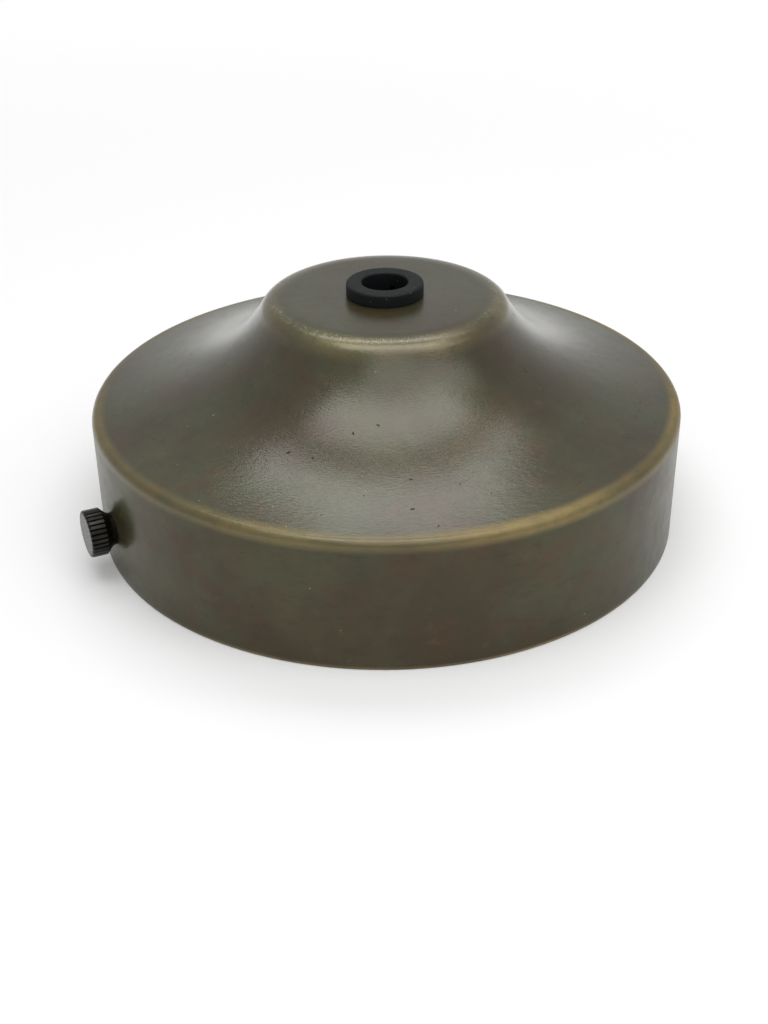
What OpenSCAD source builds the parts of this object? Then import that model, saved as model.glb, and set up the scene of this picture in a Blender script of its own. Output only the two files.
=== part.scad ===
// Ceiling canopy for a pendant light, seen as it lies with its rim on a table.
// Z = 0 is the rim plane, which meets the ceiling. +Z runs to the cable bush.
// The two thumb screws lie on the X axis.

/* [Canopy shell] */
// Outer diameter of the cylindrical wall
canopy_d = 108; // [100:1:120]
// Thickness of the spun sheet
wall_t = 1.0; // [0.7:0.1:1.4]
// Height of the shoulder above the rim
shoulder_h = 24.5; // [22:0.1:28]
// Outer radius of the shoulder's edge
shoulder_r = 1.5; // [1.5:0.1:3.5]
// Height of the flat top above the rim
top_h = 43.4; // [40:0.2:48]
// Diameter of the top across its rounded edge
top_d = 45.6; // [42:0.2:52]
// Outer radius of the top's edge
top_edge_r = 3.6; // [2.4:0.1:5]
// Radius of the gentle roll from the flat top to that edge
top_ease_r = 12; // [8:0.5:18]
// Slope at which the roll meets the edge
top_ease_deg = 12; // [6:1:18]
// Slope of the flare where it leaves the shoulder
flare_foot_deg = 9.7; // [6:0.1:16]
// Slope of the flare where it meets the top's edge
flare_head_deg = 61; // [50:0.2:66]
// Pull of the flare's curve at its two ends, as a share of the flare's chord
flare_pull = 0.35; // [0.25:0.01:0.42]
// Radius of the broken outer edge of the rim
rim_break_r = 0.3; // [0.1:0.05:0.5]

/* [Cable bush] */
// Bore for the cable
bush_bore_d = 8.3; // [6.5:0.1:8.6]
// Hole in the canopy's top that holds the bush
bush_hole_d = 10.2; // [10:0.1:11.5]
// Diameter of the flange
flange_d = 13.9; // [13:0.1:17]
// Height of the flange above the canopy's top
flange_h = 2.4; // [1.8:0.1:3.5]
// Radius of the flange's upper outer edge
flange_edge_r = 0.45; // [0.2:0.05:0.8]
// Radius at the mouth of the bore
bore_mouth_r = 0.35; // [0.15:0.05:0.5]
// Length of the snap tongues below the sheet
tongue_l = 4.2; // [3.4:0.1:6]
// Amount by which the snap barbs stand out past the hole
barb_out = 0.4; // [0.2:0.05:0.7]
// Length of the barbs' lead-in taper
barb_l = 2.2; // [1.6:0.1:2.8]
// Width of the slots between the tongues
tongue_slot_w = 1.0; // [0.6:0.1:1.2]
// Number of tongues
tongue_count = 4; // [3:1:4]

/* [Mounting strap] */
// Width of the strap
strap_w = 16; // [13:0.5:20]
// Thickness of the strap
strap_t = 1.5; // [1:0.1:2]
// Inner radius of the bends
bend_r = 1.0; // [0.6:0.1:1.6]
// Distance between the two fixing slots' centres
slot_pitch = 50.8; // [44:0.2:56]
// Width of a fixing slot
slot_w = 4.6; // [4.2:0.1:5.4]
// Length of a fixing slot, end to end
slot_l = 12; // [8:0.5:14]
// Hole for the supply cable
supply_hole_d = 11; // [8:0.5:12]
// Height of the drawn collar round the earth screw's thread
earth_collar_h = 1.2; // [0.8:0.1:1.6]
// Wall of that collar
earth_collar_t = 1.1; // [0.8:0.1:1.4]

/* [Thumb screws] */
// Height of the screws' axis above the rim
screw_z = 8.8; // [8.2:0.1:11]
// Thread diameter of the screws
thread_d = 4; // [3.5:0.1:4.2]
// Length of the shank from its seat on the wall
shank_l = 8; // [6.5:0.1:9]
// Diameter of the knurled head
head_d = 8.5; // [8:0.1:10]
// Length of the knurl
knurl_l = 2.9; // [2:0.1:4]
// Distance from the wall to the back of the knurl
head_standoff = 1.8; // [1.6:0.1:2.4]
// Diameter of the neck that bears on the wall
neck_d = 5.9; // [5.4:0.1:6.6]
// Length of the cone between neck and knurl
neck_cone_l = 1.3; // [1:0.1:1.4]
// Radius of the hollow between neck and cone
neck_fillet_r = 1.0; // [0.4:0.1:1.4]
// Number of grooves in the knurl
groove_count = 30; // [20:1:32]
// Depth of a groove
groove_depth = 0.32; // [0.2:0.02:0.4]
// Share of the knurl's pitch that a groove takes
groove_share = 0.32; // [0.24:0.02:0.44]
// Radius of the knurl's outer edge
head_edge_r = 0.4; // [0.1:0.05:0.5]

/* [Earth screw] */
// Diameter of the earth screw's head
earth_head_d = 7.2; // [6.6:0.1:7.6]
// Height of that head
earth_head_h = 2.2; // [1.8:0.1:2.8]
// Width of its driver slot
driver_slot_w = 0.9; // [0.6:0.1:1.2]
// Depth of its driver slot
driver_slot_depth = 1.0; // [0.6:0.1:1.2]
// Outer diameter of the cup washer
washer_d = 9.6; // [9.2:0.1:10.4]
// Thickness of the cup washer
washer_t = 0.7; // [0.5:0.1:1]
// Height of the washer's raised rim above its plate
washer_rim_h = 0.9; // [0.5:0.1:1.2]

/* [Fits] */
// Radial clearance of a thread in its tapped hole
thread_clear = 0.05; // [0.02:0.01:0.1]
// Radial clearance of a screw in a plain hole
pass_clear = 0.25; // [0.1:0.05:0.5]
// Radial clearance of the bush in its hole
bush_clear = 0.05; // [0.02:0.01:0.1]
// Gap between the strap's ears and the inside of the wall
strap_clear = 0.3; // [0.2:0.05:0.6]
// Gap between a thumb screw's neck and the wall
seat_clear = 0.05; // [0.02:0.01:0.1]

/* [Hidden] */
$fn = 96;

// Cuts run this far past the faces that they open
over = 1;
// Line segments in a short arc, in the top's roll and in the flare
arc_steps = 8;
ease_steps = 3;
flare_steps = 22;

canopy_r = canopy_d / 2;
inner_r = canopy_r - wall_t;
top_r = top_d / 2;
bush_hole_r = bush_hole_d / 2;
bush_r = bush_hole_r - bush_clear;
bush_bore_r = bush_bore_d / 2;
thread_r = thread_d / 2;
tapped_r = thread_r + thread_clear;
pass_r = thread_r + pass_clear;

// The ears' outer faces stand where their upright edges just clear the wall
ear_x = sqrt(pow(inner_r - strap_clear, 2) - pow(strap_w / 2, 2));
bend_out_r = bend_r + strap_t;

head_r = head_d / 2;
neck_r = neck_d / 2;
head_l = head_standoff + knurl_l;
seat_x = canopy_r + seat_clear;

// The earth screw stands midway between the supply hole and a fixing slot
earth_x = (supply_hole_d / 2 + slot_pitch / 2 - slot_l / 2) / 2;
earth_collar_r = tapped_r + earth_collar_t;
earth_collar_top = strap_t + earth_collar_h;
earth_head_z = earth_collar_top + washer_t;
washer_rim_t = washer_t;

function mix(a, b, t) = a + (b - a) * t;
function reversed(list) = [for (i = [len(list) - 1:-1:0]) list[i]];
function arc(c, r, from, to, steps) =
    [for (i = [0:steps]) let (a = mix(from, to, i / steps)) c + r * [cos(a), sin(a)]];

// The top rolls off gently before its edge turns down
roll_run = top_ease_r - top_edge_r;
top_edge_c = [top_r - top_edge_r, top_h - top_edge_r - roll_run * (1 - cos(top_ease_deg))];
top_ease_c = top_edge_c - roll_run * [sin(top_ease_deg), cos(top_ease_deg)];

// The flare is one cubic curve from the shoulder's arc to the top edge's arc
shoulder_c = [canopy_r - shoulder_r, shoulder_h - shoulder_r];
flare_foot = shoulder_c + shoulder_r * [sin(flare_foot_deg), cos(flare_foot_deg)];
flare_head = top_edge_c + top_edge_r * [sin(flare_head_deg), cos(flare_head_deg)];
flare_arm = flare_pull * norm(flare_head - flare_foot);
foot_arm = flare_foot + flare_arm * [-cos(flare_foot_deg), sin(flare_foot_deg)];
head_arm = flare_head - flare_arm * [-cos(flare_head_deg), sin(flare_head_deg)];

function flare_point(t) =
    pow(1 - t, 3) * flare_foot + 3 * pow(1 - t, 2) * t * foot_arm
    + 3 * (1 - t) * t * t * head_arm + pow(t, 3) * flare_head;
function flare_run(t) =
    pow(1 - t, 2) * (foot_arm - flare_foot) + 2 * (1 - t) * t * (head_arm - foot_arm)
    + t * t * (flare_head - head_arm);
function flare_normal(t) = let (run = flare_run(t)) [run.y, -run.x] / norm(run);

// Half section of the shell's skin, at a depth below its outer surface
function skin(depth) = concat(
    arc(shoulder_c, shoulder_r - depth, 0, 90 - flare_foot_deg, arc_steps),
    [for (i = [1:flare_steps - 1]) let (t = i / flare_steps)
        flare_point(t) - depth * flare_normal(t)],
    arc(top_edge_c, top_edge_r - depth, 90 - flare_head_deg, 90 - top_ease_deg, arc_steps),
    [for (i = [1:ease_steps]) let (a = 90 - top_ease_deg * (1 - i / ease_steps))
        top_ease_c + (top_ease_r - depth) * [cos(a), sin(a)]],
    [[bush_hole_r, top_h - depth]]);

module canopy_shell() {
    rim = arc([canopy_r - rim_break_r, rim_break_r], rim_break_r, -90, 0, 3);
    color([0.42, 0.37, 0.26])
    difference() {
        rotate_extrude($fn = 180)
            polygon(concat([[inner_r, 0]], rim, skin(0), reversed(skin(wall_t))));
        for (side = [0, 180])
            rotate(side) translate([canopy_r - 2 * wall_t - over, 0, screw_z]) rotate([0, 90, 0])
                cylinder(r = pass_r, h = 2 * (wall_t + over));
    }
}

module cable_bush() {
    flange_r = flange_d / 2;
    tongue_end = top_h - wall_t - tongue_l;
    barb_z = top_h - wall_t - bush_clear;
    barb_r = bush_hole_r + barb_out;
    flange_top = top_h + flange_h;
    color([0.07, 0.07, 0.08])
    difference() {
        rotate_extrude() polygon(concat(
            [[bush_bore_r, tongue_end], [bush_r, tongue_end], [bush_r, barb_z - barb_l],
             [barb_r, barb_z - barb_l / 3], [barb_r, barb_z], [bush_r, barb_z],
             [bush_r, top_h], [flange_r, top_h]],
            arc([flange_r - flange_edge_r, flange_top - flange_edge_r], flange_edge_r, 0, 90, 5),
            arc([bush_bore_r + bore_mouth_r, flange_top - bore_mouth_r], bore_mouth_r, 90, 180, 4)));
        for (i = [0:tongue_count - 1])
            rotate(45 + i * 360 / tongue_count)
                translate([0, -tongue_slot_w / 2, tongue_end - over])
                    cube([barb_r + over, tongue_slot_w, wall_t + tongue_l + over]);
    }
}

// One bent strip: a flat web with an ear turned up at each end
module strap_strip() {
    bend_c = [ear_x - bend_out_r, bend_out_r];
    left_c = [-bend_c.x, bend_c.y];
    rotate([90, 0, 0])
        linear_extrude(strap_w, center = true)
            polygon(concat(
                arc(left_c, bend_out_r, 180, 270, arc_steps),
                arc(bend_c, bend_out_r, 270, 360, arc_steps),
                arc(bend_c, bend_r, 360, 270, arc_steps),
                arc(left_c, bend_r, 270, 180, arc_steps)));
    for (side = [0, 180])
        rotate(side) translate([ear_x - strap_t, 0, 0]) ear();
}

// Upright ear with a round end about the thumb screw's axis
module ear() {
    half_w = strap_w / 2;
    translate([0, -half_w, bend_out_r]) cube([strap_t, strap_w, screw_z - bend_out_r]);
    difference() {
        translate([0, 0, screw_z]) rotate([0, 90, 0]) cylinder(r = half_w, h = strap_t);
        translate([-over, -half_w - over, screw_z - half_w - over])
            cube([strap_t + 2 * over, strap_w + 2 * over, half_w + over]);
    }
}

// Straight slot with round ends, along X
module fixing_slot() {
    run = slot_l - slot_w;
    translate([-run / 2, -slot_w / 2, -over]) cube([run, slot_w, strap_t + 2 * over]);
    for (x = [-run / 2, run / 2])
        translate([x, 0, -over]) cylinder(d = slot_w, h = strap_t + 2 * over);
}

module mounting_strap() {
    color([0.76, 0.77, 0.79])
    difference() {
        union() {
            strap_strip();
            translate([earth_x, 0, strap_t / 2])
                cylinder(r = earth_collar_r, h = earth_collar_top - strap_t / 2);
        }
        for (side = [-1, 1])
            translate([side * slot_pitch / 2, 0, 0]) fixing_slot();
        translate([0, 0, -over]) cylinder(d = supply_hole_d, h = strap_t + 2 * over);
        translate([earth_x, 0, -over]) cylinder(r = tapped_r, h = earth_collar_top + 2 * over);
        for (side = [0, 180])
            rotate(side) translate([ear_x - strap_t - over, 0, screw_z]) rotate([0, 90, 0])
                cylinder(r = tapped_r, h = strap_t + 2 * over);
    }
}

// A thumb screw along +Z, with its neck's seat at Z = 0 and its face at the top
module thumb_screw() {
    tip_break = thread_r / 4;
    cone_z = head_standoff - neck_cone_l;
    cone_deg = atan2(head_r - neck_r, neck_cone_l);
    // The hollow touches neck and cone, and ends above the seat
    fillet_r = min(neck_fillet_r, 0.95 * cone_z / tan(cone_deg / 2));
    fillet_c = [neck_r + fillet_r, cone_z - fillet_r * tan(cone_deg / 2)];
    pitch_w = PI * head_d / groove_count;
    groove_w = groove_share * pitch_w;
    color([0.17, 0.15, 0.12])
    difference() {
        rotate_extrude() polygon(concat(
            [[0, -shank_l], [thread_r - tip_break, -shank_l], [thread_r, tip_break - shank_l],
             [thread_r, 0], [neck_r, 0]],
            arc(fillet_c, fillet_r, 180, 180 - cone_deg, 6),
            [[head_r, head_standoff]],
            arc([head_r - head_edge_r, head_l - head_edge_r], head_edge_r, 0, 90, 4),
            [[0, head_l]]));
        for (i = [0:groove_count - 1])
            rotate(i * 360 / groove_count) translate([0, 0, cone_z])
                linear_extrude(neck_cone_l + knurl_l + over)
                    polygon([[head_r - groove_depth, -groove_w / 4], [head_r + over, -groove_w],
                             [head_r + over, groove_w], [head_r - groove_depth, groove_w / 4]]);
    }
}

module thumb_screw_left() {
    translate([-seat_x, 0, screw_z]) rotate([0, -90, 0]) thumb_screw();
}

module thumb_screw_right() {
    translate([seat_x, 0, screw_z]) rotate([0, 90, 0]) thumb_screw();
}

module earth_screw() {
    head_r = earth_head_d / 2;
    crown_r = earth_head_h / 2;
    color([0.80, 0.66, 0.36])
    translate([earth_x, 0, earth_head_z])
    difference() {
        union() {
            rotate_extrude() polygon(concat(
                [[0, 0], [head_r, 0]],
                arc([head_r - crown_r, earth_head_h - crown_r], crown_r, 0, 90, arc_steps),
                [[0, earth_head_h]]));
            translate([0, 0, seat_clear - earth_head_z])
                cylinder(r = thread_r, h = earth_head_z - seat_clear + earth_head_h / 2);
        }
        translate([-head_r - over, -driver_slot_w / 2, earth_head_h - driver_slot_depth])
            cube([2 * (head_r + over), driver_slot_w, driver_slot_depth + over]);
    }
}

module earth_washer() {
    outer_r = washer_d / 2;
    rim_r = outer_r - washer_rim_t;
    color([0.78, 0.64, 0.35])
    translate([earth_x, 0, earth_collar_top])
        rotate_extrude()
            polygon([[pass_r, 0], [outer_r, 0], [outer_r, washer_t + washer_rim_h],
                     [rim_r, washer_t + washer_rim_h], [rim_r, washer_t], [pass_r, washer_t]]);
}

canopy_shell();
cable_bush();
mounting_strap();
thumb_screw_left();
thumb_screw_right();
earth_screw();
earth_washer();
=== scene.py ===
"""Looks of the ceiling canopy: patinated shell, black bush, knurled screws and the strap inside."""
import math

import bmesh
import bpy
from mathutils import Matrix, Vector


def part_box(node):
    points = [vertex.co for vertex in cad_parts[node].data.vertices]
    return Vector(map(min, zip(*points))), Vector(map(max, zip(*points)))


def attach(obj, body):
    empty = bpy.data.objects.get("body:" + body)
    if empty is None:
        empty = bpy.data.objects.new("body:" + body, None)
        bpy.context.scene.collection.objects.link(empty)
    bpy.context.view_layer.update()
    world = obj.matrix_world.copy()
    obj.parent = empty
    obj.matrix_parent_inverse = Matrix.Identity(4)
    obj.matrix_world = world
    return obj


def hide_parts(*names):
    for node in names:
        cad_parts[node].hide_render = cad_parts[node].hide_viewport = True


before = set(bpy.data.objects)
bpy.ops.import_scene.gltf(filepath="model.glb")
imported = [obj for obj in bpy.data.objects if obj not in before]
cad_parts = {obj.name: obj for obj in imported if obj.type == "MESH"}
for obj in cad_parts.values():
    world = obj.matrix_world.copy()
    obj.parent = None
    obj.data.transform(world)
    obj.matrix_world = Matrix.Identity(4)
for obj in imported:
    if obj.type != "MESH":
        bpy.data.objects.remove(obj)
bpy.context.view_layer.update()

MM = 0.001

# Sizes of the pieces, read from the frame where it has them
shell_low, shell_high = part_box("canopy_shell")
CANOPY_R = shell_high.x
TOP_H = shell_high.z
bush_low, bush_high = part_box("cable_bush")
FLANGE_R = bush_high.x
BUSH_TOP = bush_high.z
TONGUE_END = bush_low.z
screw_low, screw_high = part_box("thumb_screw_right")
SCREW_Z = (screw_low.z + screw_high.z) / 2
HEAD_R = (screw_high.z - screw_low.z) / 2
FACE_X = screw_high.x
TIP_X = screw_low.x
strap_low, strap_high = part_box("mounting_strap")
EAR_X = strap_high.x
STRAP_W = strap_high.y - strap_low.y
earth_low, earth_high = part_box("earth_screw")
EARTH_X = (earth_low.x + earth_high.x) / 2
EARTH_HEAD_R = (earth_high.x - earth_low.x) / 2
washer_low, washer_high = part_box("earth_washer")
WASHER_R = (washer_high.x - washer_low.x) / 2

# Shell section, the same driving sizes as the solid
WALL_T = 1.0 * MM
SHOULDER_H = 24.5 * MM
SHOULDER_R = 1.5 * MM
TOP_R = 22.8 * MM
TOP_EDGE_R = 3.6 * MM
TOP_EASE_R = 12.0 * MM
TOP_EASE = math.radians(12)
FLARE_FOOT = math.radians(9.7)
FLARE_HEAD = math.radians(61)
FLARE_PULL = 0.35
RIM_BREAK_R = 0.3 * MM
BUSH_HOLE_R = 5.1 * MM
TOP_EDGE_X = TOP_R - TOP_EDGE_R
TOP_EDGE_Z = TOP_H - TOP_EDGE_R - (TOP_EASE_R - TOP_EDGE_R) * (1 - math.cos(TOP_EASE))
TOP_EASE_X = TOP_EDGE_X - (TOP_EASE_R - TOP_EDGE_R) * math.sin(TOP_EASE)
SCREW_HOLE_R = 2.25 * MM

# Radius inside which the top's underside keeps the dark outer patina beside the bush: painted shade in
# place of the bare brass inside
BUSH_PAINTED_SHADE_R = 8.0 * MM
# Share of the wax coat that the wall keeps
WALL_COAT = 0.42

# Bush, screws and strap
FLANGE_H = BUSH_TOP - TOP_H
FLANGE_EDGE_R = 0.45 * MM
BORE_R = 4.15 * MM
BORE_MOUTH_R = 0.35 * MM
BUSH_SHANK_R = 5.05 * MM
BARB_OUT = 0.4 * MM
BARB_L = 2.2 * MM
TONGUE_SLOT_W = 1.0 * MM
TONGUE_COUNT = 4
SEAT_X = 54.05 * MM
HEAD_STANDOFF = 1.8 * MM
NECK_R = 2.95 * MM
CONE_L = 1.3 * MM
NECK_FILLET_R = 1.0 * MM
HEAD_EDGE_R = 0.4 * MM
GROOVE_COUNT = 30
GROOVE_DEPTH = 0.32 * MM
GROOVE_SHARE = 0.34
THREAD_R = 2.0 * MM
THREAD_DEPTH = 0.40 * MM
THREAD_PITCH = 0.7 * MM
STRAP_T = 1.5 * MM
BEND_R = 1.0 * MM
SLOT_PITCH = 50.8 * MM
SLOT_W = 4.6 * MM
SLOT_L = 12.0 * MM
SUPPLY_HOLE_R = 5.5 * MM
COLLAR_H = 1.2 * MM
COLLAR_R = 3.15 * MM
TAPPED_R = 2.05 * MM
WASHER_T = 0.7 * MM

# Camera, as fitted to the photograph's outlines: it stands at CAM_AZ and looks down by CAM_DOWN
CAM_AZ = math.radians(-25.0)
CAM_DOWN = math.radians(30.53)
CAM_ROLL = math.radians(-0.7)
CAM_SIDE = -0.64 * MM
CAM_BACK = 244.3 * MM
CAM_UP = 142.1 * MM
CAM_LENS = 51.15
SENSOR = 36.0


# Mesh helpers

def arc(cx, cz, r, start, end, steps):
    """Points of an arc in the (radius, height) half-plane, angles in radians."""
    return [(cx + r * math.cos(start + (end - start) * i / steps),
             cz + r * math.sin(start + (end - start) * i / steps)) for i in range(steps + 1)]


def line(a, b, steps):
    """Points from a towards b, without b."""
    return [(a[0] + (b[0] - a[0]) * i / steps, a[1] + (b[1] - a[1]) * i / steps) for i in range(steps)]


def link_mesh(name, bm, smooth=True):
    """Turns a bmesh into an object of the scene."""
    bmesh.ops.recalc_face_normals(bm, faces=bm.faces)
    mesh = bpy.data.meshes.new(name)
    bm.to_mesh(mesh)
    bm.free()
    if smooth:
        mesh.shade_smooth()
    piece = bpy.data.objects.new(name, mesh)
    bpy.context.scene.collection.objects.link(piece)
    return piece


def lathe(bm, profile, segments, closed=True, radius_at=None):
    """Revolves (radius, height) points about Z. A radius of 0 becomes one pole vertex.

    radius_at(radius, height, angle) may change a point's radius, for teeth and threads.
    """
    rings = []
    for r, z in profile:
        if r < 1e-7:
            rings.append([bm.verts.new((0, 0, z))])
            continue
        ring = []
        for i in range(segments):
            a = 2 * math.pi * i / segments
            rr = radius_at(r, z, a) if radius_at else r
            ring.append(bm.verts.new((rr * math.cos(a), rr * math.sin(a), z)))
        rings.append(ring)
    pairs = list(zip(rings[:-1], rings[1:]))
    if closed:
        pairs.append((rings[-1], rings[0]))
    for low, high in pairs:
        for i in range(segments):
            j = (i + 1) % segments
            if len(low) == 1 and len(high) == 1:
                break
            if len(low) == 1:
                bm.faces.new((low[0], high[i], high[j]))
            elif len(high) == 1:
                bm.faces.new((low[i], low[j], high[0]))
            else:
                bm.faces.new((low[i], low[j], high[j], high[i]))
    return rings


def cutter(name, bm):
    """A helper solid for a boolean cut; cut() removes it afterwards."""
    piece = link_mesh(name, bm, smooth=False)
    return piece


def cut(piece, tool):
    """Cuts tool out of piece and removes it."""
    modifier = piece.modifiers.new("cut", "BOOLEAN")
    modifier.operation = "DIFFERENCE"
    modifier.solver = "EXACT"
    modifier.object = tool
    apply_modifiers(piece)
    bpy.data.objects.remove(tool)


def apply_modifiers(piece):
    """Replaces the piece's mesh by its evaluated one."""
    graph = bpy.context.evaluated_depsgraph_get()
    mesh = bpy.data.meshes.new_from_object(piece.evaluated_get(graph))
    piece.modifiers.clear()
    piece.data = mesh


def soften(piece, width, segments=2, angle=30):
    """Bevels the piece's sharp edges."""
    modifier = piece.modifiers.new("soften", "BEVEL")
    modifier.width = width
    modifier.segments = segments
    modifier.limit_method = "ANGLE"
    modifier.angle_limit = math.radians(angle)
    modifier.harden_normals = False
    apply_modifiers(piece)


def rod(bm, r, start, end, segments=48):
    """A closed cylinder between two points."""
    start, end = Vector(start), Vector(end)
    axis = end - start
    turn = axis.to_track_quat("Z", "Y").to_matrix().to_4x4()
    place = Matrix.Translation((start + end) / 2) @ turn
    bmesh.ops.create_cone(bm, cap_ends=True, segments=segments, radius1=r, radius2=r,
                          depth=axis.length, matrix=place)


def block(bm, low, high):
    """A closed box between two corners."""
    low, high = Vector(low), Vector(high)
    size = high - low
    place = Matrix.Translation((low + high) / 2) @ Matrix.Diagonal((size.x, size.y, size.z, 1))
    bmesh.ops.create_cube(bm, size=1, matrix=place)


# Shell

def flare_curve():
    """The four control points of the flare's cubic curve."""
    foot = Vector((CANOPY_R - SHOULDER_R + SHOULDER_R * math.sin(FLARE_FOOT),
                   SHOULDER_H - SHOULDER_R + SHOULDER_R * math.cos(FLARE_FOOT)))
    head = Vector((TOP_EDGE_X + TOP_EDGE_R * math.sin(FLARE_HEAD),
                   TOP_EDGE_Z + TOP_EDGE_R * math.cos(FLARE_HEAD)))
    arm = FLARE_PULL * (head - foot).length
    foot_arm = foot + arm * Vector((-math.cos(FLARE_FOOT), math.sin(FLARE_FOOT)))
    head_arm = head - arm * Vector((-math.cos(FLARE_HEAD), math.sin(FLARE_HEAD)))
    return foot, foot_arm, head_arm, head


def flare_points(depth, steps):
    """The flare between its ends, at a depth below the outer surface."""
    a, b, c, d = flare_curve()
    points = []
    for i in range(1, steps):
        t = i / steps
        at = (1 - t) ** 3 * a + 3 * (1 - t) ** 2 * t * b + 3 * (1 - t) * t * t * c + t ** 3 * d
        run = (1 - t) ** 2 * (b - a) + 2 * (1 - t) * t * (c - b) + t * t * (d - c)
        normal = Vector((run.y, -run.x)).normalized()
        at = at - depth * normal
        points.append((at.x, at.y))
    return points


def skin(depth, fine):
    """Half section of the shell at a depth below its outer surface, from the shoulder to the hole."""
    quarter = math.pi / 2
    top = TOP_H - depth
    return (arc(CANOPY_R - SHOULDER_R, SHOULDER_H - SHOULDER_R, SHOULDER_R - depth,
                0, quarter - FLARE_FOOT, 6 * fine)
            + flare_points(depth, 36 * fine)
            + arc(TOP_EDGE_X, TOP_EDGE_Z, TOP_EDGE_R - depth,
                  quarter - FLARE_HEAD, quarter - TOP_EASE, 8 * fine)
            + arc(TOP_EASE_X, TOP_H - TOP_EASE_R, TOP_EASE_R - depth,
                  quarter - TOP_EASE, quarter, 4 * fine)[1:]
            + line((TOP_EASE_X, top), (BUSH_HOLE_R, top), 4 * fine)[1:]
            + [(BUSH_HOLE_R, top)])


def make_shell():
    """The spun shell with its two screw holes."""
    inner_r = CANOPY_R - WALL_T
    wall_top = SHOULDER_H - SHOULDER_R
    rim = arc(CANOPY_R - RIM_BREAK_R, RIM_BREAK_R, RIM_BREAK_R, -math.pi / 2, 0, 4)
    wall = line((CANOPY_R, RIM_BREAK_R), (CANOPY_R, wall_top), 20)[1:]
    inner_wall = line((inner_r, wall_top), (inner_r, 0), 10)[1:]
    profile = rim + wall + skin(0, 2) + skin(WALL_T, 1)[::-1] + inner_wall + [(inner_r, 0)]
    bm = bmesh.new()
    lathe(bm, profile, 320)
    shell = link_mesh("spun_shell", bm)
    bm = bmesh.new()
    for side in (-1, 1):
        rod(bm, SCREW_HOLE_R, (side * (inner_r - 2 * MM), 0, SCREW_Z),
            (side * (CANOPY_R + 2 * MM), 0, SCREW_Z), 64)
    cut(shell, cutter("screw_holes", bm))
    return shell


# Bush

def make_bush():
    """Moulded snap-in bush: flange, bore and four barbed tongues."""
    barb_z = TOP_H - WALL_T - 0.05 * MM
    barb_r = BUSH_HOLE_R + BARB_OUT
    flange = (arc(FLANGE_R - FLANGE_EDGE_R, BUSH_TOP - FLANGE_EDGE_R, FLANGE_EDGE_R, 0, math.pi / 2, 8)
              + arc(BORE_R + BORE_MOUTH_R, BUSH_TOP - BORE_MOUTH_R, BORE_MOUTH_R,
                    math.pi / 2, math.pi, 6))
    bore = line((BORE_R, BUSH_TOP - BORE_MOUTH_R), (BORE_R, TONGUE_END), 6)[1:]
    foot_r = 0.15 * MM
    profile = (flange + bore
               + [(BORE_R, TONGUE_END + foot_r), (BORE_R + foot_r, TONGUE_END)]
               + [(BUSH_SHANK_R - foot_r, TONGUE_END), (BUSH_SHANK_R, TONGUE_END + foot_r),
                  (BUSH_SHANK_R, barb_z - BARB_L), (barb_r, barb_z - BARB_L / 3), (barb_r, barb_z),
                  (BUSH_SHANK_R, barb_z), (BUSH_SHANK_R, TOP_H),
                  (FLANGE_R - foot_r, TOP_H), (FLANGE_R, TOP_H + foot_r)])
    bm = bmesh.new()
    lathe(bm, profile, 160)
    bush = link_mesh("moulded_bush", bm)
    bm = bmesh.new()
    for i in range(TONGUE_COUNT):
        piece = bmesh.new()
        block(piece, (0, -TONGUE_SLOT_W / 2, TONGUE_END - MM), (barb_r + MM, TONGUE_SLOT_W / 2, TOP_H))
        turn = Matrix.Rotation(math.pi / 4 + 2 * math.pi * i / TONGUE_COUNT, 4, "Z")
        bmesh.ops.transform(piece, matrix=turn, verts=piece.verts)
        held = bpy.data.meshes.new("slot")
        piece.to_mesh(held)
        piece.free()
        bm.from_mesh(held)
        bpy.data.meshes.remove(held)
    cut(bush, cutter("tongue_slots", bm))
    sharp_by_angle(bush, 35)
    return bush


def sharp_by_angle(piece, degrees):
    """Smooth shading that breaks at sharp edges."""
    piece.data.shade_smooth()
    piece.data.set_sharp_from_angle(angle=math.radians(degrees))


# Thumb screws

def knurl_radius(r, z, a):
    """Radius of the head at an angle: flat lands with narrow grooves that fade out on the cone."""
    if z < HEAD_STANDOFF - CONE_L * 0.8:
        return r
    turn = (a * GROOVE_COUNT / (2 * math.pi)) % 1.0
    off = abs(turn - 0.5) / (GROOVE_SHARE / 2)
    if off >= 1:
        return r
    depth = GROOVE_DEPTH * (1 - off ** 2.5)
    floor = HEAD_R - GROOVE_DEPTH
    return min(r, max(r - depth, floor if off < 0.4 else r - depth))


def thread_radius(r, z, a):
    """Radius of a right-hand thread at an angle and height."""
    if r < THREAD_R - 1e-6:
        return r
    phase = (z / THREAD_PITCH - a / (2 * math.pi)) % 1.0
    ridge = abs(phase - 0.5) * 2
    return r - THREAD_DEPTH * min(1.0, max(0.0, (ridge - 0.15) / 0.7))


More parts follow.
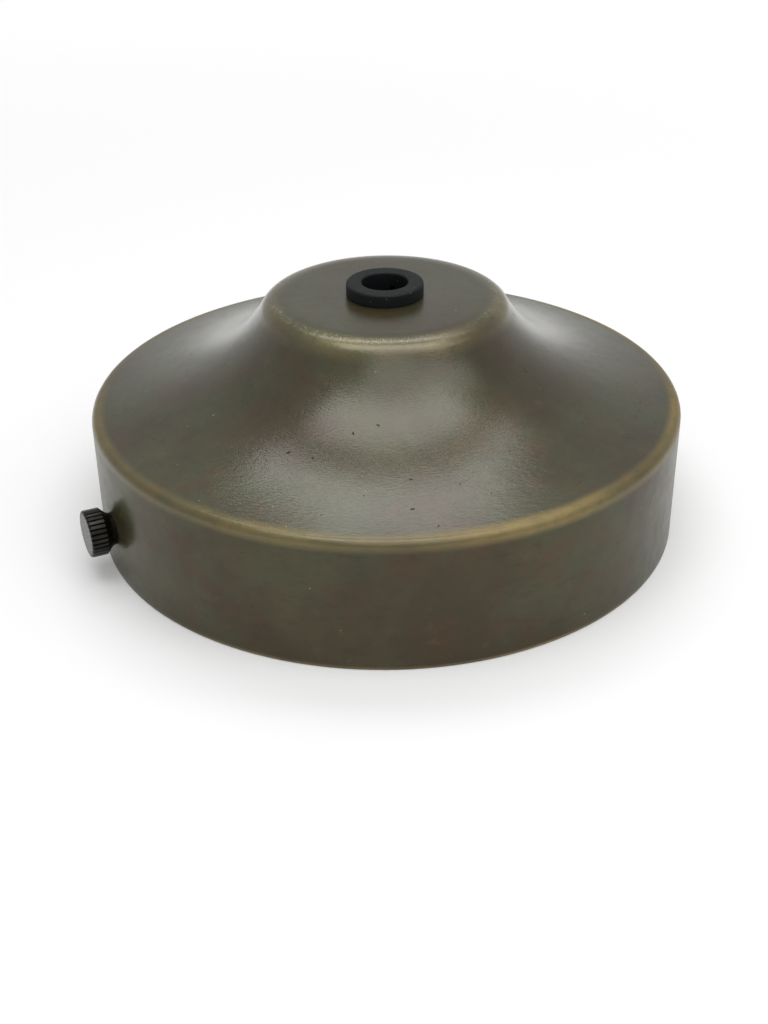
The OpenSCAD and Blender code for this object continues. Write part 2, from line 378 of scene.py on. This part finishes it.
def make_thumb_screw(name, side):
    """A knurled screw with a threaded shank, seated on the wall at side -1 or 1."""
    length = FACE_X - SEAT_X
    shank = SEAT_X - TIP_X
    cone_turn = math.atan2(HEAD_R - NECK_R, CONE_L)
    hollow_z = HEAD_STANDOFF - CONE_L - NECK_FILLET_R * math.tan(cone_turn / 2)
    hollow = arc(NECK_R + NECK_FILLET_R, hollow_z, NECK_FILLET_R, math.pi, math.pi - cone_turn, 10)
    face_r = HEAD_R - HEAD_EDGE_R
    head = ([(0, 0), (NECK_R - 0.1 * MM, 0), (NECK_R, 0.1 * MM)]
            + hollow + line(hollow[-1], (HEAD_R, HEAD_STANDOFF), 8)[1:]
            + line((HEAD_R, HEAD_STANDOFF), (HEAD_R, length - HEAD_EDGE_R), 10)
            + arc(face_r, length - HEAD_EDGE_R, HEAD_EDGE_R, 0, math.pi / 2, 5)
            + [(face_r * (1 - i / 12), length) for i in range(1, 13)])
    bm = bmesh.new()
    lathe(bm, head, GROOVE_COUNT * 10, closed=False, radius_at=knurl_radius)
    tip = THREAD_R * 0.72
    rings = round(shank / THREAD_PITCH * 8)
    rod_profile = ([(0, -shank), (tip, -shank)]
                   + [(THREAD_R, -shank + 0.5 * MM + (shank - 0.7 * MM) * i / rings)
                      for i in range(rings + 1)]
                   + [(THREAD_R - THREAD_DEPTH, -0.1 * MM), (THREAD_R - THREAD_DEPTH, 0.2 * MM),
                      (0, 0.2 * MM)])
    lathe(bm, rod_profile, 64, closed=False, radius_at=thread_radius)
    place = (Matrix.Translation((side * SEAT_X, 0, SCREW_Z))
             @ Matrix.Rotation(side * math.pi / 2, 4, "Y"))
    bmesh.ops.transform(bm, matrix=place, verts=bm.verts)
    screw = link_mesh(name, bm)
    sharp_by_angle(screw, 38)
    return screw


# Strap and earth terminal

def make_strap():
    """Bent strip with slots, supply hole, tapped ears and a tapped hole for the earth screw."""
    half_w = STRAP_W / 2
    out_r = BEND_R + STRAP_T
    quarter = math.pi / 2
    cx = EAR_X - out_r
    outline = (arc(-cx, out_r, out_r, 2 * quarter, 3 * quarter, 10)
               + arc(cx, out_r, out_r, 3 * quarter, 4 * quarter, 10)
               + [(EAR_X, SCREW_Z + half_w), (EAR_X - STRAP_T, SCREW_Z + half_w)]
               + arc(cx, out_r, BEND_R, 4 * quarter, 3 * quarter, 10)
               + arc(-cx, out_r, BEND_R, 3 * quarter, 2 * quarter, 10)
               + [(-EAR_X + STRAP_T, SCREW_Z + half_w), (-EAR_X, SCREW_Z + half_w)])
    bm = bmesh.new()
    front = bm.faces.new([bm.verts.new((x, -half_w, z)) for x, z in outline])
    grown = bmesh.ops.extrude_face_region(bm, geom=[front])
    moved = [v for v in grown["geom"] if isinstance(v, bmesh.types.BMVert)]
    bmesh.ops.translate(bm, vec=(0, STRAP_W, 0), verts=moved)
    strap = link_mesh("bent_strap", bm, smooth=False)
    bm = bmesh.new()
    ring = 48
    for side in (-1, 1):
        low = side * (EAR_X - STRAP_T - MM)
        high = side * (EAR_X + MM)
        outer = [(half_w * math.cos(math.pi * i / ring), SCREW_Z + half_w * math.sin(math.pi * i / ring))
                 for i in range(ring + 1)]
        loop = outer + [(-half_w - MM, SCREW_Z), (-half_w - MM, SCREW_Z + half_w + MM),
                        (half_w + MM, SCREW_Z + half_w + MM), (half_w + MM, SCREW_Z)]
        face = bm.faces.new([bm.verts.new((low, y, z)) for y, z in loop])
        grown = bmesh.ops.extrude_face_region(bm, geom=[face])
        moved = [v for v in grown["geom"] if isinstance(v, bmesh.types.BMVert)]
        bmesh.ops.translate(bm, vec=(high - low, 0, 0), verts=moved)
    cut(strap, cutter("ear_ends", bm))
    bm = bmesh.new()
    for side in (-1, 1):
        rod(bm, TAPPED_R, (side * (EAR_X - STRAP_T - MM), 0, SCREW_Z), (side * (EAR_X + MM), 0, SCREW_Z))
    rod(bm, SUPPLY_HOLE_R, (0, 0, -MM), (0, 0, STRAP_T + MM), 96)
    rod(bm, TAPPED_R, (EARTH_X, 0, -MM), (EARTH_X, 0, STRAP_T + MM))
    cut(strap, cutter("round_holes", bm))
    run = (SLOT_L - SLOT_W) / 2
    for side in (-1, 1):
        bm = bmesh.new()
        loop = ([(run + SLOT_W / 2 * math.cos(a), SLOT_W / 2 * math.sin(a))
                 for a in [math.pi * (i / 24 - 0.5) for i in range(25)]]
                + [(-run + SLOT_W / 2 * math.cos(a), SLOT_W / 2 * math.sin(a))
                   for a in [math.pi * (i / 24 + 0.5) for i in range(25)]])
        face = bm.faces.new([bm.verts.new((side * SLOT_PITCH / 2 + x, y, -MM)) for x, y in loop])
        grown = bmesh.ops.extrude_face_region(bm, geom=[face])
        moved = [v for v in grown["geom"] if isinstance(v, bmesh.types.BMVert)]
        bmesh.ops.translate(bm, vec=(0, 0, STRAP_T + 2 * MM), verts=moved)
        cut(strap, cutter("slot", bm))
    soften(strap, 0.15 * MM)
    sharp_by_angle(strap, 30)
    return strap


def make_collar():
    """Drawn collar round the earth screw's thread."""
    top = STRAP_T + COLLAR_H
    edge = 0.2 * MM
    flow = 0.6 * MM
    profile = ([(TAPPED_R, STRAP_T), (COLLAR_R + flow, STRAP_T)]
               + arc(COLLAR_R + flow, STRAP_T + flow, flow, 1.5 * math.pi, math.pi, 6)
               + arc(COLLAR_R - edge, top - edge, edge, 0, math.pi / 2, 4)
               + [(TAPPED_R + edge, top), (TAPPED_R, top - edge)])
    bm = bmesh.new()
    lathe(bm, profile, 72)
    bmesh.ops.translate(bm, vec=(EARTH_X, 0, 0), verts=bm.verts)
    collar = link_mesh("earth_collar", bm)
    sharp_by_angle(collar, 40)
    return collar


def make_earth_screw():
    """Slotted cheese-head screw of the earth terminal."""
    base = STRAP_T + COLLAR_H + WASHER_T
    top = earth_high.z
    height = top - base
    crown = height / 2
    profile = ([(0, base), (EARTH_HEAD_R - 0.1 * MM, base), (EARTH_HEAD_R, base + 0.1 * MM)]
               + arc(EARTH_HEAD_R - crown, top - crown, crown, 0, math.pi / 2, 14)
               + [((EARTH_HEAD_R - crown) * (1 - i / 6), top) for i in range(1, 7)])
    bm = bmesh.new()
    lathe(bm, profile, 96, closed=False)
    bmesh.ops.translate(bm, vec=(EARTH_X, 0, 0), verts=bm.verts)
    screw = link_mesh("slotted_screw", bm)
    bm = bmesh.new()
    half = 0.45 * MM
    block(bm, (EARTH_X - EARTH_HEAD_R - MM, -half, top - 1.0 * MM),
          (EARTH_X + EARTH_HEAD_R + MM, half, top + MM))
    cut(screw, cutter("driver_slot", bm))
    soften(screw, 0.06 * MM)
    bm = bmesh.new()
    bm.from_mesh(screw.data)
    shank = base - earth_low.z
    rings = round(shank / THREAD_PITCH * 8)
    part = bmesh.new()
    lathe(part, ([(0, earth_low.z), (THREAD_R - THREAD_DEPTH, earth_low.z)]
                 + [(THREAD_R, earth_low.z + 0.05 * MM + (shank - 0.05 * MM) * i / rings)
                    for i in range(rings + 1)]
                 + [(THREAD_R - THREAD_DEPTH, base + 0.2 * MM), (0, base + 0.2 * MM)]),
          56, closed=False, radius_at=thread_radius)
    bmesh.ops.translate(part, vec=(EARTH_X, 0, 0), verts=part.verts)
    held = bpy.data.meshes.new("thread")
    part.to_mesh(held)
    part.free()
    bm.from_mesh(held)
    bpy.data.meshes.remove(held)
    bm.to_mesh(screw.data)
    bm.free()
    sharp_by_angle(screw, 32)
    return screw


def make_washer():
    """Cup washer with a raised rim that keeps the wire in."""
    low = washer_low.z
    top = washer_high.z
    wall = WASHER_T
    edge = 0.2 * MM
    profile = ([(SCREW_HOLE_R, low), (WASHER_R - wall, low)]
               + arc(WASHER_R - wall, low + wall, wall, -math.pi / 2, 0, 6)
               + arc(WASHER_R - edge, top - edge, edge, 0, math.pi / 2, 4)
               + [(WASHER_R - wall + edge, top), (WASHER_R - wall, top - edge)]
               + [(WASHER_R - wall, low + wall), (SCREW_HOLE_R + edge, low + wall),
                  (SCREW_HOLE_R, low + wall - edge)])
    bm = bmesh.new()
    lathe(bm, profile, 96)
    bmesh.ops.translate(bm, vec=(EARTH_X, 0, 0), verts=bm.verts)
    washer = link_mesh("cup_washer", bm)
    sharp_by_angle(washer, 40)
    return washer


# Materials

class Shader:
    """Builds a procedural material on one Principled shader."""

    def __init__(self, name):
        self.material = bpy.data.materials.new(name)
        self.material.use_nodes = True
        self.tree = self.material.node_tree
        self.surface = self.tree.nodes["Principled BSDF"]

    def node(self, kind, values=None, **settings):
        made = self.tree.nodes.new(kind)
        for key, value in settings.items():
            setattr(made, key, value)
        for key, value in (values or {}).items():
            self.put(made.inputs[key], value)
        return made

    def put(self, socket, value):
        if isinstance(value, bpy.types.NodeSocket):
            self.tree.links.new(value, socket)
        else:
            socket.default_value = value

    def set(self, **values):
        for key, value in values.items():
            self.put(self.surface.inputs[key.replace("_", " ")], value)

    def math(self, operation, a, b=0.0, clamp=False):
        made = self.node("ShaderNodeMath", {0: a, 1: b}, operation=operation, use_clamp=clamp)
        return made.outputs[0]

    def vector(self, operation, a, b=(0, 0, 0)):
        return self.node("ShaderNodeVectorMath", {0: a, 1: b}, operation=operation).outputs[0]

    def mix(self, factor, a, b):
        made = self.node("ShaderNodeMix", {"Factor": factor}, data_type="RGBA")
        self.put(made.inputs[6], a)
        self.put(made.inputs[7], b)
        return made.outputs[2]

    def spread(self, value, low, high, to_low=0.0, to_high=1.0, smooth=True):
        made = self.node("ShaderNodeMapRange", {"Value": value, "From Min": low, "From Max": high,
                                                "To Min": to_low, "To Max": to_high})
        made.interpolation_type = "SMOOTHSTEP" if smooth else "LINEAR"
        return made.outputs[0]

    def noise(self, vector, scale, detail=4.0, roughness=0.55, distortion=0.0):
        return self.node("ShaderNodeTexNoise", {"Vector": vector, "Scale": scale, "Detail": detail,
                                                "Roughness": roughness, "Distortion": distortion}
                         ).outputs["Fac"]

    def hues(self, vector, scale):
        """A noise with three channels, for pushing coordinates about."""
        return self.node("ShaderNodeTexNoise", {"Vector": vector, "Scale": scale}).outputs["Color"]

    def parts(self, vector, axis):
        """One coordinate of a vector: 0, 1 or 2 for X, Y or Z."""
        return self.node("ShaderNodeSeparateXYZ", {0: vector}).outputs[axis]

    def spots(self, vector, scale, size, share, flat=True):
        """Round spots, one in a share of the cells. Their size is a share of a cell."""
        cell = self.node("ShaderNodeTexVoronoi", {"Vector": vector, "Scale": scale},
                         voronoi_dimensions="2D" if flat else "3D")
        lot = self.node("ShaderNodeSeparateColor", {0: cell.outputs["Color"]}).outputs[0]
        disc = self.spread(cell.outputs["Distance"], 0.6 * size, size, 1.0, 0.0)
        return self.math("MULTIPLY", disc, self.math("LESS_THAN", lot, share))

    def place(self):
        """Position on the piece, in metres."""
        return self.node("ShaderNodeTexCoord").outputs["Object"]

    def bump(self, height, distance, strength=1.0, normal=None):
        values = {"Height": height, "Distance": distance, "Strength": strength}
        if normal is not None:
            values["Normal"] = normal
        return self.node("ShaderNodeBump", values).outputs[0]


def rgb(r, g, b):
    """A linear colour from 0-255 display values."""
    def linear(c):
        c = c / 255
        return c / 12.92 if c <= 0.04045 else ((c + 0.055) / 1.055) ** 2.4
    return (linear(r), linear(g), linear(b), 1.0)


def turned_place(s, around, along):
    """Coordinates stretched round the Z axis, for marks that a lathe or brush leaves."""
    place = s.place()
    flat = s.vector("MULTIPLY", place, (1, 1, 0))
    unit = s.vector("NORMALIZE", flat)
    radius = s.node("ShaderNodeVectorMath", {0: flat}, operation="LENGTH").outputs["Value"]
    height = s.node("ShaderNodeSeparateXYZ", {0: place}).outputs[2]
    run = s.math("SUBTRACT", height, radius)
    ring = s.vector("MULTIPLY", unit, (around, around, 0))
    ring_parts = s.node("ShaderNodeSeparateXYZ", {0: ring})
    made = s.node("ShaderNodeCombineXYZ", {0: ring_parts.outputs[0], 1: ring_parts.outputs[1],
                                           2: s.math("MULTIPLY", run, along)})
    return made.outputs[0], radius, height


def unrolled(s, place, height, above):
    """Flat coordinates of the sheet: from above where above is 1, and round the wall where it is 0."""
    parts = s.node("ShaderNodeSeparateXYZ", {0: place})
    turn = s.math("ARCTAN2", parts.outputs[1], parts.outputs[0])
    wall = s.node("ShaderNodeCombineXYZ", {0: s.math("MULTIPLY", turn, CANOPY_R), 1: height})
    chosen = s.node("ShaderNodeMix", {"Factor": above}, data_type="VECTOR")
    s.put(chosen.inputs[4], wall.outputs[0])
    s.put(chosen.inputs[5], place)
    return chosen.outputs[1]


def near_edge(s, radius, height, edge_r, edge_z, inner, outer):
    """1 on the circle at (edge_r, edge_z), fading to 0 between the inner and outer distances."""
    dr = s.math("SUBTRACT", radius, edge_r)
    dz = s.math("SUBTRACT", height, edge_z)
    square = s.math("ADD", s.math("MULTIPLY", dr, dr), s.math("MULTIPLY", dz, dz))
    return s.spread(s.math("SQRT", square), inner, outer, 1.0, 0.0)


def aged_brass():
    """Brown satin patina on brass, worn through along the edges."""
    s = Shader("aged_brass")
    place = s.place()
    brushed, radius, height = turned_place(s, 0.018, 1.0)
    clouds = s.noise(place, 45.0, 4.0, 0.6)
    blotches = s.noise(s.vector("ADD", place, (0.31, 0.17, 0.05)), 130.0, 5.0, 0.65, 0.6)
    stains = s.noise(s.vector("ADD", place, (0.11, 0.43, 0.29)), 95.0, 5.0, 0.6, 0.4)
    freckles = s.noise(place, 340.0, 4.0, 0.6)
    relief = s.noise(brushed, 2700.0, 3.0, 0.65)
    strokes = s.noise(brushed, 700.0, 4.0, 0.6)

    brown = rgb(66, 56, 40)
    olive = rgb(73, 70, 50)
    rose = rgb(84, 58, 42)
    slate = rgb(56, 60, 48)
    ochre = rgb(104, 86, 52)
    tone = s.mix(s.spread(clouds, 0.38, 0.64), brown, olive)
    tone = s.mix(s.spread(blotches, 0.46, 0.70, 0.0, 0.42), tone, rose)
    tone = s.mix(s.spread(stains, 0.54, 0.76, 0.0, 0.38), tone, slate)
    tone = s.mix(s.spread(freckles, 0.58, 0.80, 0.0, 0.30), tone, ochre)
    tone = s.mix(s.spread(strokes, 0.52, 0.80, 0.0, 0.35), tone, rgb(50, 41, 31))

    rub = s.math("ADD", s.math("MULTIPLY", blotches, 0.6), s.math("MULTIPLY", strokes, 0.5))
    turn = s.math("ARCTAN2", s.parts(place, 1), s.parts(place, 0))
    handled = s.math("COSINE", s.math("ADD", s.math("MULTIPLY", turn, 7.0), 7.0 * math.radians(88)))
    handled = s.math("ADD", handled, s.spread(s.noise(place, 60.0, 3.0, 0.6), 0.3, 0.7, -0.7, 0.7))
    patchy = s.math("MULTIPLY", s.spread(rub, 0.36, 0.66, 0.55, 1.0),
                    s.spread(handled, -1.2, 1.0, 0.50, 1.0))
    patchy = s.math("MULTIPLY", patchy, s.spread(s.parts(place, 0), -50 * MM, 0.0, 0.60, 1.0))
    shoulder = near_edge(s, radius, height, CANOPY_R - 0.6 * MM, SHOULDER_H - 0.5 * MM, 0.8 * MM, 2.3 * MM)
    top = near_edge(s, radius, height, TOP_EDGE_X + 2.2 * MM, TOP_H - 0.8 * MM, 0.3 * MM, 3.6 * MM)
    rim = near_edge(s, radius, height, CANOPY_R, 0.0, 0.3 * MM, 0.8 * MM)
    edges = s.math("MAXIMUM", s.math("MAXIMUM", shoulder, s.math("MULTIPLY", top, 0.55)), rim)
    worn = s.math("MULTIPLY", edges, patchy)
    tone = s.mix(s.math("MULTIPLY", worn, 0.74), tone, rgb(150, 132, 90))

    crossed, _, _ = turned_place(s, 0.06, 0.5)
    hatch = s.spread(s.noise(crossed, 2600.0, 2.0, 0.5), 0.57, 0.66)
    hatched = s.math("MULTIPLY", hatch, near_edge(s, radius, height, TOP_EDGE_X + 0.8 * MM,
                                                  TOP_H - 0.3 * MM, 0.2 * MM, 1.1 * MM))
    hatched = s.math("MULTIPLY", hatched, s.spread(clouds, 0.38, 0.58, 0.10, 1.0))
    tone = s.mix(s.math("MULTIPLY", hatched, 0.75), tone, rgb(186, 170, 128))

    warp = s.vector("MULTIPLY", s.hues(place, 800.0), (0.0012, 0.0012, 0.0012))
    above = s.math("GREATER_THAN", height, SHOULDER_H - 1.0 * MM)
    sheet = s.vector("ADD", unrolled(s, place, height, above), warp)
    pit = s.spots(s.vector("MULTIPLY", sheet, (0.35, 1.0, 1.0)), 170.0, 0.027, 0.34)
    nick = s.spots(s.vector("ADD", sheet, (0.51, 0.23, 0)), 260.0, 0.038, 0.14)
    dark = s.math("MULTIPLY", s.math("MAXIMUM", pit, nick), s.spread(above, 0.0, 1.0, 0.35, 1.0))
    tone = s.mix(s.math("MULTIPLY", dark, 0.75), tone, rgb(28, 24, 18))
    speck = s.spots(s.vector("ADD", sheet, (0.13, 0.37, 0)), 210.0, 0.032, 0.05)
    tone = s.mix(s.math("MULTIPLY", speck, 0.6), tone, rgb(160, 148, 118))

    wax = s.spread(height, SHOULDER_H - 2.4 * MM, SHOULDER_H - 0.6 * MM, WALL_COAT, 1.0)
    rubbed = s.math("MULTIPLY", shoulder, patchy)
    wax = s.math("MULTIPLY", wax, s.spread(rubbed, 0.0, 1.0, 1.0, 0.08, smooth=False))
    wax = s.math("MULTIPLY", wax, s.math("SUBTRACT", 1.0, s.math("MULTIPLY", dark, 0.8)))
    metal = s.spread(worn, 0.0, 1.0, 0.5, 0.6, smooth=False)
    roughness = s.spread(freckles, 0.3, 0.8, 0.34, 0.46)
    roughness = s.math("ADD", roughness, s.math("MULTIPLY", rubbed, 0.14))
    s.set(Base_Color=tone, Metallic=metal, Roughness=roughness, Specular_IOR_Level=0.0,
          Coat_Weight=wax, Coat_Roughness=0.16, Coat_IOR=1.54, Coat_Tint=(0.93, 1.0, 0.95, 1.0))
    fine = s.bump(relief, 0.034 * MM)
    rolled = s.bump(s.math("SUBTRACT", blotches, s.math("MULTIPLY", dark, 0.8)), 0.05 * MM, 1.0, fine)
    s.set(Normal=rolled, Coat_Normal=rolled)
    return s.material


def inner_brass():
    """Unfinished inside of the spun shell, dull brass with spinning marks and brown stains."""
    s = Shader("inner_brass")
    place = s.place()
    brushed, radius, height = turned_place(s, 0.02, 1.0)
    rings = s.noise(brushed, 900.0, 4.0, 0.6)
    stains = s.noise(place, 60.0, 5.0, 0.6)
    tone = s.mix(s.spread(rings, 0.35, 0.7), rgb(150, 118, 66), rgb(186, 154, 96))
    tone = s.mix(s.spread(stains, 0.45, 0.75, 0.0, 0.75), tone, rgb(92, 68, 40))
    s.set(Base_Color=tone, Metallic=0.9, Roughness=s.spread(stains, 0.3, 0.8, 0.32, 0.55))
    s.set(Normal=s.bump(rings, 0.03 * MM))
    return s.material


def black_plastic():
    """Matt moulded plastic with a faint grain."""
    s = Shader("black_plastic")
    place = s.place()
    grain = s.noise(place, 3200.0, 3.0, 0.6)
    cloud = s.noise(place, 260.0, 3.0, 0.5)
    tone = s.mix(s.spread(cloud, 0.3, 0.7), rgb(6, 10, 12), rgb(12, 17, 18))
    dust = s.spots(place, 700.0, 0.07, 0.55, flat=False)
    tone = s.mix(s.math("MULTIPLY", dust, 0.6), tone, rgb(150, 152, 150))
    s.set(Base_Color=tone, Metallic=0.0, Roughness=s.spread(grain, 0.3, 0.7, 0.5, 0.66), IOR=1.48,
          Specular_IOR_Level=0.27)
    s.set(Normal=s.bump(grain, 0.02 * MM))
    return s.material


def dark_bronze():
    """Blackened screw metal, a little brighter in soft random patches."""
    s = Shader("dark_bronze")
    place = s.place()
    cloud = s.noise(place, 420.0, 4.0, 0.6)
    grain = s.noise(place, 2600.0, 3.0, 0.6)
    tone = s.mix(s.spread(cloud, 0.35, 0.7), rgb(24, 23, 20), rgb(44, 41, 35))
    s.set(Base_Color=tone, Metallic=0.8, Roughness=s.spread(grain, 0.3, 0.7, 0.3, 0.45),
          Specular_IOR_Level=0.2, Coat_Weight=0.3, Coat_Roughness=0.25)
    s.set(Normal=s.bump(grain, 0.012 * MM))
    return s.material


def zinc_steel():
    """Zinc-plated steel with faint blotches."""
    s = Shader("zinc_steel")
    place = s.place()
    cloud = s.noise(place, 150.0, 5.0, 0.6)
    grain = s.noise(place, 1800.0, 3.0, 0.6)
    tone = s.mix(s.spread(cloud, 0.3, 0.7), rgb(176, 180, 184), rgb(206, 208, 208))
    s.set(Base_Color=tone, Metallic=1.0, Roughness=s.spread(grain, 0.3, 0.7, 0.26, 0.4))
    s.set(Normal=s.bump(grain, 0.008 * MM))
    return s.material


def plain_brass():
    """Turned brass of the earth terminal."""
    s = Shader("plain_brass")
    place = s.place()
    cloud = s.noise(place, 300.0, 4.0, 0.6)
    grain = s.noise(place, 2400.0, 3.0, 0.6)
    tone = s.mix(s.spread(cloud, 0.3, 0.7), rgb(196, 160, 86), rgb(222, 190, 116))
    s.set(Base_Color=tone, Metallic=1.0, Roughness=s.spread(grain, 0.3, 0.7, 0.2, 0.34))
    s.set(Normal=s.bump(grain, 0.008 * MM))
    return s.material


# Build the pieces

def wear(piece, *materials):
    """Gives the piece its materials, the first one on every face."""
    piece.data.materials.clear()
    for material in materials:
        piece.data.materials.append(material)
    for face in piece.data.polygons:
        face.material_index = 0


def paint_inside(shell):
    """Faces that look inward or lie inside take the second material, but not those beside the bush, which
    keep the dark first one as painted shade.
    """
    for face in shell.data.polygons:
        centre = face.center
        radial = Vector((centre.x, centre.y, 0)).normalized()
        inward = face.normal.dot(radial) < 0 and face.normal.z < 0.5 and centre.z < TOP_H - WALL_T
        # Beside the bush the underside keeps the dark patina, as painted shade
        away = math.hypot(centre.x, centre.y) > BUSH_PAINTED_SHADE_R
        under = face.normal.z < -0.2 and centre.z > 2 * RIM_BREAK_R and away
        if inward or under:
            face.material_index = 1


brass = aged_brass()
bare = inner_brass()
plastic = black_plastic()
bronze = dark_bronze()
zinc = zinc_steel()
terminal = plain_brass()

shell = make_shell()
wear(shell, brass, bare)
paint_inside(shell)
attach(shell, "canopy")
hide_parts("canopy_shell")

bush = make_bush()
wear(bush, plastic)
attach(bush, "canopy")
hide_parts("cable_bush")

for name, node, body, side in (("knurled_screw_left", "thumb_screw_left", "left_screw", -1),
                               ("knurled_screw_right", "thumb_screw_right", "right_screw", 1)):
    screw = make_thumb_screw(name, side)
    wear(screw, bronze)
    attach(screw, body)
    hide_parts(node)

strap = make_strap()
wear(strap, zinc)
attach(strap, "canopy")
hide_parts("mounting_strap")

collar = make_collar()
wear(collar, zinc)
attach(collar, "canopy")

earth_screw = make_earth_screw()
wear(earth_screw, terminal)
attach(earth_screw, "canopy")
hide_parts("earth_screw")

washer = make_washer()
wear(washer, terminal)
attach(washer, "canopy")
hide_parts("earth_washer")


# Studio

def heading(side, back, up):
    """A point given from the camera's heading: to its right, towards it, and up."""
    return Vector((side * math.cos(CAM_AZ) + back * math.sin(CAM_AZ),
                   side * math.sin(CAM_AZ) - back * math.cos(CAM_AZ), up))


def make_camera():
    data = bpy.data.cameras.new("camera")
    data.sensor_width = SENSOR
    data.lens = CAM_LENS
    data.clip_start = 0.01
    camera = bpy.data.objects.new("camera", data)
    bpy.context.scene.collection.objects.link(camera)
    look = Matrix.Rotation(CAM_AZ, 4, "Z") @ Matrix.Rotation(math.pi / 2 - CAM_DOWN, 4, "X")
    camera.matrix_world = (Matrix.Translation(heading(CAM_SIDE, CAM_BACK, CAM_UP)) @ look
                           @ Matrix.Rotation(CAM_ROLL, 4, "Z"))
    bpy.context.scene.camera = camera


def make_panel(name, left, right, back, front, radiance):
    """A flat soft light overhead. Its edges are slopes seen from the part: distance across per height."""
    width = (right - left) * PANEL_H
    depth = (front - back) * PANEL_H
    data = bpy.data.lights.new(name, "AREA")
    data.shape = "RECTANGLE"
    data.size = width
    data.size_y = depth
    data.energy = radiance * math.pi * width * depth
    panel = bpy.data.objects.new(name, data)
    bpy.context.scene.collection.objects.link(panel)
    at = heading((left + right) / 2 * PANEL_H, (back + front) / 2 * PANEL_H, PANEL_H)
    panel.matrix_world = Matrix.Translation(at) @ Matrix.Rotation(CAM_AZ, 4, "Z")


def make_floor():
    """Pale floor, white where nothing shades it, that fades into the surroundings far away."""
    bm = bmesh.new()
    bmesh.ops.create_circle(bm, cap_ends=True, segments=96, radius=FLOOR_R)
    floor = link_mesh("floor", bm, smooth=False)
    floor.location.z = -0.02 * MM
    s = Shader("floor_pale")
    s.set(Base_Color=(0.78, 0.78, 0.78, 1), Roughness=1.0, Specular_IOR_Level=0.0)
    path = s.node("ShaderNodeLightPath")
    seen = s.math("MAXIMUM", path.outputs["Is Camera Ray"],
                  s.math("MAXIMUM", path.outputs["Is Glossy Ray"], path.outputs["Is Transmission Ray"]))
    place = s.place()
    away = s.math("SQRT", s.math("ADD", s.math("MULTIPLY", s.parts(place, 0), s.parts(place, 0)),
                                 s.math("MULTIPLY", s.parts(place, 1), s.parts(place, 1))))
    lift = s.spread(away, FLOOR_NEAR, FLOOR_FAR, FLOOR_LIFT, FLOOR_FAR_LIFT)
    lift = s.math("MULTIPLY", lift, s.math("GREATER_THAN", away, CANOPY_R - WALL_T))
    s.set(Emission_Color=(1, 1, 1, 1), Emission_Strength=s.math("MULTIPLY", seen, lift))
    wear(floor, s.material)


def make_world():
    """Pale surroundings, brightest at the horizon."""
    world = bpy.data.worlds.new("studio")
    bpy.context.scene.world = world
    world.use_nodes = True
    tree = world.node_tree
    background = tree.nodes["Background"]
    coordinate = tree.nodes.new("ShaderNodeTexCoord")
    parts = tree.nodes.new("ShaderNodeSeparateXYZ")
    tree.links.new(coordinate.outputs["Generated"], parts.inputs[0])
    fade = tree.nodes.new("ShaderNodeMapRange")
    fade.interpolation_type = "SMOOTHSTEP"
    tree.links.new(parts.outputs[2], fade.inputs["Value"])
    fade.inputs["From Min"].default_value = 0.10
    fade.inputs["From Max"].default_value = 0.45
    fade.inputs["To Min"].default_value = WORLD_HORIZON
    fade.inputs["To Max"].default_value = WORLD_ABOVE
    tree.links.new(fade.outputs[0], background.inputs["Strength"])
    background.inputs["Color"].default_value = (1, 1, 1, 1)


FLOOR_LIFT = 0.08
FLOOR_FAR_LIFT = 0.24
FLOOR_NEAR = 0.2
FLOOR_FAR = 0.6
FLOOR_R = 3.0
WORLD_HORIZON = 0.59
WORLD_ABOVE = 0.45
PANEL_H = 0.9

make_camera()
make_floor()
make_world()
make_panel("rear_panel", -0.45, 0.36, -0.62, -0.33, 3.2)
make_panel("rear_right_panel", 0.36, 0.64, -0.45, -0.30, 3.3)
make_panel("rear_low_panel", -0.15, 0.24, -0.85, -0.62, 2.2)
make_panel("front_panel", -0.50, 0.60, -0.08, 0.45, 2.9)
make_panel("front_low_panel", -0.30, 0.60, 0.45, 1.60, 1.25)
make_panel("right_panel", 0.60, 1.30, 0.15, 1.10, 1.35)

bpy.context.scene.view_settings.view_transform = "Standard"
